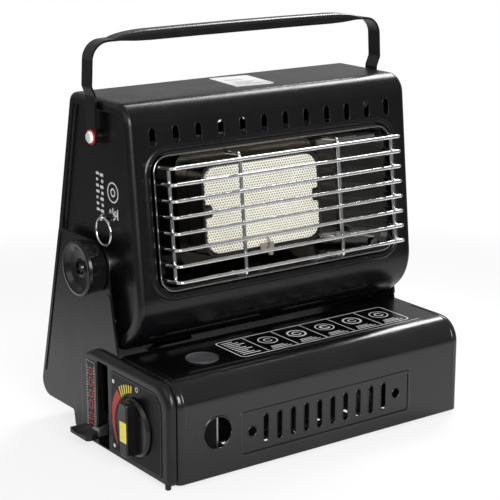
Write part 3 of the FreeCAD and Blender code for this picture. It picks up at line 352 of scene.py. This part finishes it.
class Print:
    """Flat ink shapes drawn as (u, v) in millimetres on a plane of the object."""

    def __init__(self, place):
        self.place = place
        self.bm = bmesh.new()

    def poly(self, points):
        self.bm.faces.new([self.bm.verts.new(self.place(u, v)) for u, v in points])

    def bar(self, u0, u1, v0, v1):
        self.poly([(u0, v0), (u1, v0), (u1, v1), (u0, v1)])

    def line(self, a, b, width):
        du, dv = b[0] - a[0], b[1] - a[1]
        length = math.hypot(du, dv)
        nu, nv = -dv / length * width / 2, du / length * width / 2
        ahead = [(a[0] + nu, a[1] + nv), (b[0] + nu, b[1] + nv)]
        back = [(b[0] - nu, b[1] - nv), (a[0] - nu, a[1] - nv)]
        self.poly(ahead + back)

    def arc(self, cu, cv, r0, r1, start, end, steps=24, taper=None):
        """Band from radius r0 to r1 between two angles in degrees; taper scales its width."""
        for i in range(steps):
            points = []
            for k, j in ((0, i), (1, i), (1, i + 1), (0, i + 1)):
                a = math.radians(start + (end - start) * j / steps)
                low = r0 if taper is None else r0 + (r1 - r0) * (1 - taper(j / steps))
                r = r1 if k else low
                points.append((cu + r * math.cos(a), cv + r * math.sin(a)))
            self.poly(points)

    def disc(self, cu, cv, r, steps=20):
        points = []
        for i in range(steps):
            a = 2 * math.pi * i / steps
            points.append((cu + r * math.cos(a), cv + r * math.sin(a)))
        self.poly(points)

    def frame(self, u0, u1, v0, v1, width, r):
        """Rounded rectangle line."""
        self.bar(u0 + r, u1 - r, v0, v0 + width)
        self.bar(u0 + r, u1 - r, v1 - width, v1)
        self.bar(u0, u0 + width, v0 + r, v1 - r)
        self.bar(u1 - width, u1, v0 + r, v1 - r)
        corners = (
            (u1 - r, v1 - r, 0),
            (u0 + r, v1 - r, 90),
            (u0 + r, v0 + r, 180),
            (u1 - r, v0 + r, 270),
        )
        for cu, cv, start in corners:
            self.arc(cu, cv, r - width, r, start, start + 90, 6)

    def finish(self, name, material, body):
        bmesh.ops.recalc_face_normals(self.bm, faces=self.bm.faces)
        return mesh_object(name, self.bm, material, body)


def on_left(x):
    """Plane at x that faces -X; u runs along +Y, v up."""
    return lambda u, v: Vector((x, (u + CENTRE_Y) * MM, v * MM))


def on_top(z):
    """Plane at z that faces +Z; u along X, v along Y."""
    return lambda u, v: Vector((u * MM, (v + CENTRE_Y) * MM, z))


def dress(names, material):
    for name in names.split():
        obj = NODES[name]
        obj.data.materials.clear()
        obj.data.materials.append(material)
        for face in obj.data.polygons:
            face.material_index = 0


def dress_where(name, material, picks):
    """Give a CAD node a second finish on the faces whose centre x picks(x) accepts."""
    obj = NODES[name]
    obj.data.materials.append(material)
    for face in obj.data.polygons:
        if picks(face.center.x):
            face.material_index = 1


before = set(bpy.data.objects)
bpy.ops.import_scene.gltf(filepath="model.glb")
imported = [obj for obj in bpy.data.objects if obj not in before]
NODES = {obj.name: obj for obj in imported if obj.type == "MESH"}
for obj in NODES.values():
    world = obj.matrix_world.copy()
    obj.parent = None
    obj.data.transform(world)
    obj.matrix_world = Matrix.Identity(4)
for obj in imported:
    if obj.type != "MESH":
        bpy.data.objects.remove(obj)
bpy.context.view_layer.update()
LID_FRONT_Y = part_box("lid")[0][1] + LID_BEAD_PROUD

# Dress the CAD nodes

black = enamel("black_enamel", (0.0022, 0.0022, 0.0026, 1), 0.17)
black_side = enamel("black_enamel_side", (0.0028, 0.0027, 0.0028, 1), 0.25, 0.6, 0.36)
dress("lid", black)
black_head = enamel("black_enamel_head", (0.0022, 0.0022, 0.0027, 1), 0.21, 0.35, 0.28)
dress("head_front head_rear", black_head)
dress("head_side_left head_side_right side_plate_left side_plate_right base_tray", black_side)
dress("bail_handle", enamel("black_handle", (0.0025, 0.0025, 0.0028, 1), 0.24))
plastic = moulded("black_plastic", (0.0028, 0.0028, 0.0028, 1), 0.28, 0.2, 0.36)
dress("control_panel lever_tab igniter rear_feet", plastic)
gloss_plastic = moulded("gloss_plastic", (0.0028, 0.0028, 0.0028, 1), 0.17, 0.06, 0.45)
dress("control_knob tilt_knob_left tilt_knob_right", gloss_plastic)
dress("lid_plug", moulded("grey_plug", (0.055, 0.055, 0.058, 1), 0.40))
dress("scale_plate", film("scale_film", (0.0018, 0.0018, 0.0020, 1), 0.28, 0.12, 0.12))
dress("name_strip", film("strip_film", (0.0026, 0.0024, 0.0024, 1), 0.28, 0.12, 0.16))
dress("reflector", reflector_steel())
dress("window_trim", chromed("bright_rim", (0.30, 0.30, 0.305, 1), 0.10))
dress("wire_guard", chromed("chrome_wire", (0.80, 0.80, 0.81, 1), 0.10, (1, 30, 30)))
dress("pull_ring pull_stem stem_collar", chromed("chrome_small", (0.80, 0.80, 0.81, 1), 0.14))
dress("mixing_tube thermocouple", sheet_metal("stainless", (0.50, 0.49, 0.47, 1), 0.30))
dress("burner_box plaque_clips", sheet_metal("heated_steel", (0.10, 0.092, 0.082, 1), 0.26))
dress("deck_plate", black_side)
# Zinc plate with its tone set darker than bare zinc: painted shade for the parts inside the base;
# the bushes and screws share the same tone.
zinc_plate = sheet_metal("zinc_plate", (0.40, 0.41, 0.43, 1), 0.34)
dress("cartridge_guide cartridge_cradle heat_shield lock_lever", zinc_plate)
dress("pivot_bushes base_screws head_screws", zinc_plate)
plated_steel = sheet_metal("plated_steel", (0.50, 0.50, 0.51, 1), 0.30, (1, 1, 1))
dress("tilt_stud_left tilt_stud_right hinge_pins", plated_steel)
dress("regulator_body", sheet_metal("cast_zinc", (0.55, 0.55, 0.56, 1), 0.48, (1, 1, 1)))
turned_brass = chromed("turned_brass", (0.72, 0.55, 0.26, 1), 0.24, (60, 1, 1))
dress("injector_nozzle valve_spindle", turned_brass)
dress("ceramic_plaque", ceramic())
dress("spark_electrode", film("porcelain", (0.26, 0.24, 0.21, 1), 0.30, 0.08))
dress("gas_hose front_feet", rubber("black_rubber"))
dress("top_label", film("white_film", (0.86, 0.86, 0.87, 1), 0.34, 0.05))
dress("knob_pointer", film("yellow_insert", (0.90, 0.78, 0.10, 1), 0.32))
dress("rivet_washers", film("red_washer", (0.55, 0.03, 0.03, 1), 0.35))
dress("handle_rivets", film("white_cap", (0.80, 0.80, 0.80, 1), 0.28, 0.06))

dress_where("rivet_washers", black_side, lambda x: abs(x) < WASHER_X)
for side in ("left", "right"):
    dress_where("tilt_stud_" + side, gloss_plastic, lambda x: abs(x) > STUD_TIP_X)
dress_where("pull_stem", plastic, lambda x: x > STEM_EAR_X)

ink_white = film("white_ink", WHITE, 0.45)
ink_grey = film("grey_ink", GREY_PRINT, 0.5)
ink_dim = film("dim_ink", DIM_PRINT, 0.5)
ink_yellow = film("yellow_ink", YELLOW, 0.45)
ink_red = film("red_ink", RED, 0.45)


# Prints on the end panel

panel_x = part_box("scale_plate")[0][0] - FILM
knob_low, knob_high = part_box("valve_spindle")
knob_u = (knob_low[1] + knob_high[1]) / 2 / MM - CENTRE_Y
knob_v = (knob_low[2] + knob_high[2]) / 2 / MM


def round_knob(r, angle):
    """Point at radius r and an angle in radians round the gas knob's axis."""
    return (knob_u + r * math.cos(angle), knob_v + r * math.sin(angle))


def scale_prints():
    """Dots, a red arc that widens upward with its ticks, a yellow hatch, border and zero."""
    dots = Print(on_left(panel_x))
    dots.disc(-23.3, 59.3, 1.5)
    dots.disc(-23.3, 11.3, 1.5)
    dots.finish("scale_dots", ink_white, "base")

    arc = Print(on_left(panel_x))
    ends = (SCALE_START, SCALE_END)
    widen = lambda t: 0.12 + 0.88 * t ** 0.8
    arc.arc(knob_u, knob_v, SCALE_INNER, SCALE_OUTER, *ends, 40, taper=widen)
    arc.finish("scale_arc", ink_red, "base")

    ticks = Print(on_left(panel_x - FILM / 2))
    for i in range(16):
        a = math.radians(-36 + i * 5.0)
        ticks.line(round_knob(SCALE_INNER + 0.5, a), round_knob(SCALE_OUTER - 0.2, a), 0.35)
    ticks.finish("scale_arc_ticks", ink_dim, "base")

    hatch = Print(on_left(panel_x))
    for i in range(6):
        a = math.radians(46 + i * 6.4)
        tip = SCALE_OUTER + 0.5 - 0.5 * i
        hatch.line(round_knob(SCALE_INNER, a), round_knob(tip, a + 0.06), 1.5)
    hatch.finish("scale_hatch", ink_yellow, "base")

    edge = Print(on_left(panel_x))
    edge.frame(-84.4, -20.6, 7.6, 65.9, 0.45, 3.0)
    edge.finish("scale_border", ink_dim, "base")

    mark = Print(on_left(panel_x))
    mark.arc(-54.5, 62.0, 1.25, 1.85, 0, 360, 24)
    mark.finish("scale_zero", ink_white, "base")


def strip_prints():
    """Border, two columns of ticks and a column of plain outlined blocks."""
    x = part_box("name_strip")[0][0] - FILM
    edge = Print(on_left(x))
    edge.frame(1.6, 14.4, 9.6, 65.4, 0.4, 1.2)
    edge.finish("strip_border", ink_grey, "base")
    marks = Print(on_left(x))
    for i in range(24):
        v = 11.2 + i * 2.15
        marks.bar(2.9, 4.4 - 0.3 * (i % 3), v, v + 1.2)
        marks.bar(12.0 + 0.2 * (i % 4), 13.4, v + 0.4, v + 1.5)
    marks.finish("strip_marks", ink_grey, "base")
    red = Print(on_left(x))
    for i in range(6):
        v = 12.0 + i * 8.6
        red.frame(5.9, 10.8, v, v + 6.8 - (i % 2), 0.8, 1.3)
    red.finish("strip_blocks", ink_red, "base")


# Prints on the lid


def lid_prints():
    """Row of cells: one with bars, five with rings over bars."""
    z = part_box("lid")[0][2] + LID_HEIGHT + FILM
    lines = Print(on_top(z))
    u0, u1, v0, v1 = -55.5, 100.0, -72.3, -35.3
    lines.frame(u0, u1, v0, v1, 0.9, 4.0)
    cells, first, pitch = 6, u0 + 24.0, 26.2
    for i in range(1, cells):
        u = first + (i - 1) * pitch
        lines.bar(u - 0.4, u + 0.4, v0 + 1.5, v1 - 1.5)
    for i in range(9):
        v = v0 + 4.5 + i * 3.4
        lines.bar(u0 + 3.5, u0 + 19.0 - 3.0 * (i % 3), v, v + 1.3)
    for i in range(cells - 1):
        cu = first + pitch / 2 + i * pitch
        cv = (v0 + v1) / 2 + 3.0
        lines.arc(cu, cv, 6.6 - 0.5 * (i % 2), 7.6, 0, 360, 28)
        lines.arc(cu, cv, 2.4, 3.4 + 0.4 * (i % 3), 20, 340, 20)
        for k in range(3):
            lines.bar(cu - 8.5 + k, cu + 8.5 - 2 * k, v0 + 3.2 + k * 2.4, v0 + 4.2 + k * 2.4)
    lines.finish("lid_panel_print", ink_white, "lid")


def side_prints():
    """Two rings with bars under them, and a double column of bars."""
    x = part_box("head_side_left")[0][0] + SIDE_FIELD - FILM
    marks = Print(on_left(x))
    ring = (-8.0, 190.0)
    marks.arc(*ring, 6.3, 7.4, 0, 360, 28)
    marks.arc(*ring, 2.0, 3.2, 0, 360, 20)
    for i in range(4):
        marks.bar(-14.6 + 3.2 * i, -13.1 + 3.2 * i, 171.5, 179.0 - 1.4 * (i % 2))
        marks.bar(-13.0 + 3.2 * i, -12.4 + 3.2 * i, 173.5, 177.0)
    for i in range(7):
        v = 173.0 + i * 4.3
        marks.bar(4.6, 9.0 - (i % 2) * 1.4, v, v + 2.2)
        marks.bar(10.2 + 0.8 * (i % 3), 14.4, v + 0.6, v + 2.6)
    marks.finish("side_marks", ink_white, "head")


def label_prints():
    """Plain lines and bars on the label, turned a little as the label is."""
    low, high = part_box("top_label")
    z = high[2] + FILM
    centre = ((low[0] + high[0]) / 2 / MM, (low[1] + high[1]) / 2 / MM)
    turn = math.radians(-6)

    def place(u, v):
        cu = centre[0] + u * math.cos(turn) - v * math.sin(turn)
        cv = centre[1] + u * math.sin(turn) + v * math.cos(turn)
        return Vector((cu * MM, cv * MM, z))

    lines = Print(place)
    for i in range(4):
        lines.bar(-11, 10 - 4 * (i % 3), -4 - i * 3.6, -3.2 - i * 3.6)
    for i in range(9):
        lines.bar(-11 + i * 1.6, -10.2 + i * 1.6, 3.0, 7.0 - (i % 2))
    lines.finish("label_lines", film("pale_ink", (0.22, 0.22, 0.24, 1), 0.5), "head")


# Pressed beads and slot lips on the sheet metal


def rounded(u, v, w, h, r, steps=6):
    """Points round a rounded rectangle, in millimetres."""
    points = []
    cw, ch = w / 2 - r, h / 2 - r
    for cu, cv, start in ((cw, ch, 0), (-cw, ch, 90), (-cw, -ch, 180), (cw, -ch, 270)):
        for i in range(steps + 1):
            a = math.radians(start + 90 * i / steps)
            points.append((u + cu + r * math.cos(a), v + cv + r * math.sin(a)))
    return points


def add_bead(bm, points, width, height, place, base=0.0):
    """Low rounded ridge along a closed line; place(u, v, out) puts it on the sheet."""
    rows = []
    for i, (u, v) in enumerate(points):
        before, after = points[i - 1], points[(i + 1) % len(points)]
        du, dv = after[0] - before[0], after[1] - before[1]
        length = math.hypot(du, dv)
        row = []
        for t in (-1.0, -0.5, 0.0, 0.5, 1.0):
            shift = t * width / 2 / length
            out = base + height * (1 - t * t)
            row.append(bm.verts.new(place(u + dv * shift, v - du * shift, out)))
        rows.append(row)
    for i, row in enumerate(rows):
        after = rows[(i + 1) % len(rows)]
        for k in range(4):
            bm.faces.new((row[k], after[k], after[k + 1], row[k + 1]))


def on_lid_front(u, v, out):
    """The lid's upright front sheet; u runs along X, v up."""
    return Vector((u * MM, LID_FRONT_Y - out * MM, v * MM))


def on_head_face(u, v, out):
    """The head's leaning face; v runs up it from the window's centre."""
    lean = math.atan(FACE_SLOPE)
    y = WINDOW_Y + v * math.sin(lean) - out * math.cos(lean)
    z = WINDOW_Z + v * math.cos(lean) + out * math.sin(lean)
    return Vector((u * MM, y * MM, z * MM))


def lid_beads():
    """Beads round the vent panel and the sight hole, and lips round the vents."""
    bm = bmesh.new()
    add_bead(bm, rounded(3.4, 28.2, 153.6, 31.1, 3.3), 2.0, 0.34, on_lid_front)
    add_bead(bm, rounded(*SIGHT_HOLE, 24.0, 24.0, 11.99), 1.5, 0.30, on_lid_front)
    for i in range(VENTS):
        u = VENT_FIRST_X + VENT_PITCH * i
        w, h = (7.6, 7.6) if i in (0, VENTS - 1) else (5.0, 21.3)
        add_bead(bm, rounded(u, VENT_Z, w, h, w / 2 - 0.01), 0.9, 0.42, on_lid_front, -0.46)
    bmesh.ops.recalc_face_normals(bm, faces=bm.faces)
    mesh_object("lid_pressed_beads", bm, black, "lid", True)


def head_beads():
    """Lips round the slots, and a bead round the window."""
    bm = bmesh.new()
    for i in range(SLOTS):
        u = (i - (SLOTS - 1) / 2) * SLOT_PITCH
        add_bead(bm, rounded(u, SLOT_V, 5.5, 13.1, 2.74), 1.0, 0.45, on_head_face, -0.02)
    add_bead(bm, rounded(0, 0, 220.5, 104.5, 17.5), 3.6, 0.9, on_head_face, -0.05)
    bmesh.ops.recalc_face_normals(bm, faces=bm.faces)
    mesh_object("head_pressed_beads", bm, black_head, "head", True)


scale_prints()
strip_prints()
lid_prints()
side_prints()
label_prints()
lid_beads()
head_beads()


# Stage, light and camera


def build_floor():
    bm = bmesh.new()
    for x, y in ((-1, -1), (1, -1), (1, 1), (-1, 1)):
        bm.verts.new((x * FLOOR_HALF, y * FLOOR_HALF, 0))
    bm.faces.new(bm.verts)
    data = bpy.data.meshes.new("floor")
    bm.to_mesh(data)
    bm.free()
    floor = bpy.data.objects.new("floor", data)
    bpy.context.scene.collection.objects.link(floor)
    data.materials.append(floor_material())


def softbox(name, where, aim, size, power):
    """Area lamp of the given width and height in metres, power in watts, turned to a point."""
    light = bpy.data.lights.new(name, "AREA")
    light.shape = "RECTANGLE"
    light.size, light.size_y = size
    light.energy = power
    obj = bpy.data.objects.new(name, light)
    bpy.context.scene.collection.objects.link(obj)
    obj.location = where
    obj.rotation_euler = (Vector(aim) - Vector(where)).to_track_quat("-Z", "Y").to_euler()


def build_world():
    """White backdrop to the camera; a soft grey gradient lights the object."""
    world = bpy.data.worlds.new("studio")
    bpy.context.scene.world = world
    world.use_nodes = True
    tree = world.node_tree
    tree.nodes.clear()
    out = tree.nodes.new("ShaderNodeOutputWorld")
    coord = tree.nodes.new("ShaderNodeTexCoord")
    split = tree.nodes.new("ShaderNodeSeparateXYZ")
    tree.links.new(coord.outputs["Generated"], split.inputs[0])
    ramp = tree.nodes.new("ShaderNodeValToRGB")
    ramp.color_ramp.elements[0].position = 0.0
    ramp.color_ramp.elements[0].color = SKY_LOW
    ramp.color_ramp.elements[1].position = 1.0
    ramp.color_ramp.elements[1].color = SKY_HIGH
    tree.links.new(split.outputs["Z"], ramp.inputs[0])
    sky = tree.nodes.new("ShaderNodeBackground")
    sky.inputs["Strength"].default_value = SKY_STRENGTH
    tree.links.new(ramp.outputs[0], sky.inputs["Color"])
    white = tree.nodes.new("ShaderNodeBackground")
    white.inputs["Strength"].default_value = 1.0
    path = tree.nodes.new("ShaderNodeLightPath")
    either = tree.nodes.new("ShaderNodeMath")
    either.operation = "MAXIMUM"
    tree.links.new(path.outputs["Is Glossy Ray"], either.inputs[0])
    tree.links.new(path.outputs["Is Transmission Ray"], either.inputs[1])
    share = tree.nodes.new("ShaderNodeMath")
    share.operation = "MULTIPLY_ADD"
    share.use_clamp = True
    share.inputs[1].default_value = GLOSS_WHITE
    tree.links.new(either.outputs[0], share.inputs[0])
    tree.links.new(path.outputs["Is Camera Ray"], share.inputs[2])
    mix = tree.nodes.new("ShaderNodeMixShader")
    tree.links.new(share.outputs[0], mix.inputs[0])
    tree.links.new(sky.outputs[0], mix.inputs[1])
    tree.links.new(white.outputs[0], mix.inputs[2])
    tree.links.new(mix.outputs[0], out.inputs[0])


def build_camera():
    back = Vector((
        math.sin(CAM_AZIMUTH) * math.cos(CAM_ELEVATION),
        -math.cos(CAM_AZIMUTH) * math.cos(CAM_ELEVATION),
        math.sin(CAM_ELEVATION),
    ))
    right = Vector((math.cos(CAM_AZIMUTH), math.sin(CAM_AZIMUTH), 0))
    up = back.cross(right)
    data = bpy.data.cameras.new("camera")
    data.sensor_width = 36
    data.lens = CAM_LENS
    data.clip_end = 20
    cam = bpy.data.objects.new("camera", data)
    bpy.context.scene.collection.objects.link(cam)
    turn = Matrix((right, up, back)).transposed().to_4x4()
    cam.matrix_world = Matrix.Translation(CAM_TARGET + back * CAM_DISTANCE) @ turn
    bpy.context.scene.camera = cam


build_floor()
build_world()
softbox("top_box", (0.88, 0.52, 1.20), (0, 0, 0.2), (0.62, 0.55), 17.0)
softbox("front_box", (-0.55, -1.90, 0.95), (0, 0, 0.15), (1.3, 1.0), 52.0)
softbox("left_box", (-1.5, -0.2, 0.9), (0, 0, 0.12), (0.9, 0.9), 3.0)
build_camera()
bpy.context.scene.view_settings.view_transform = "Standard"
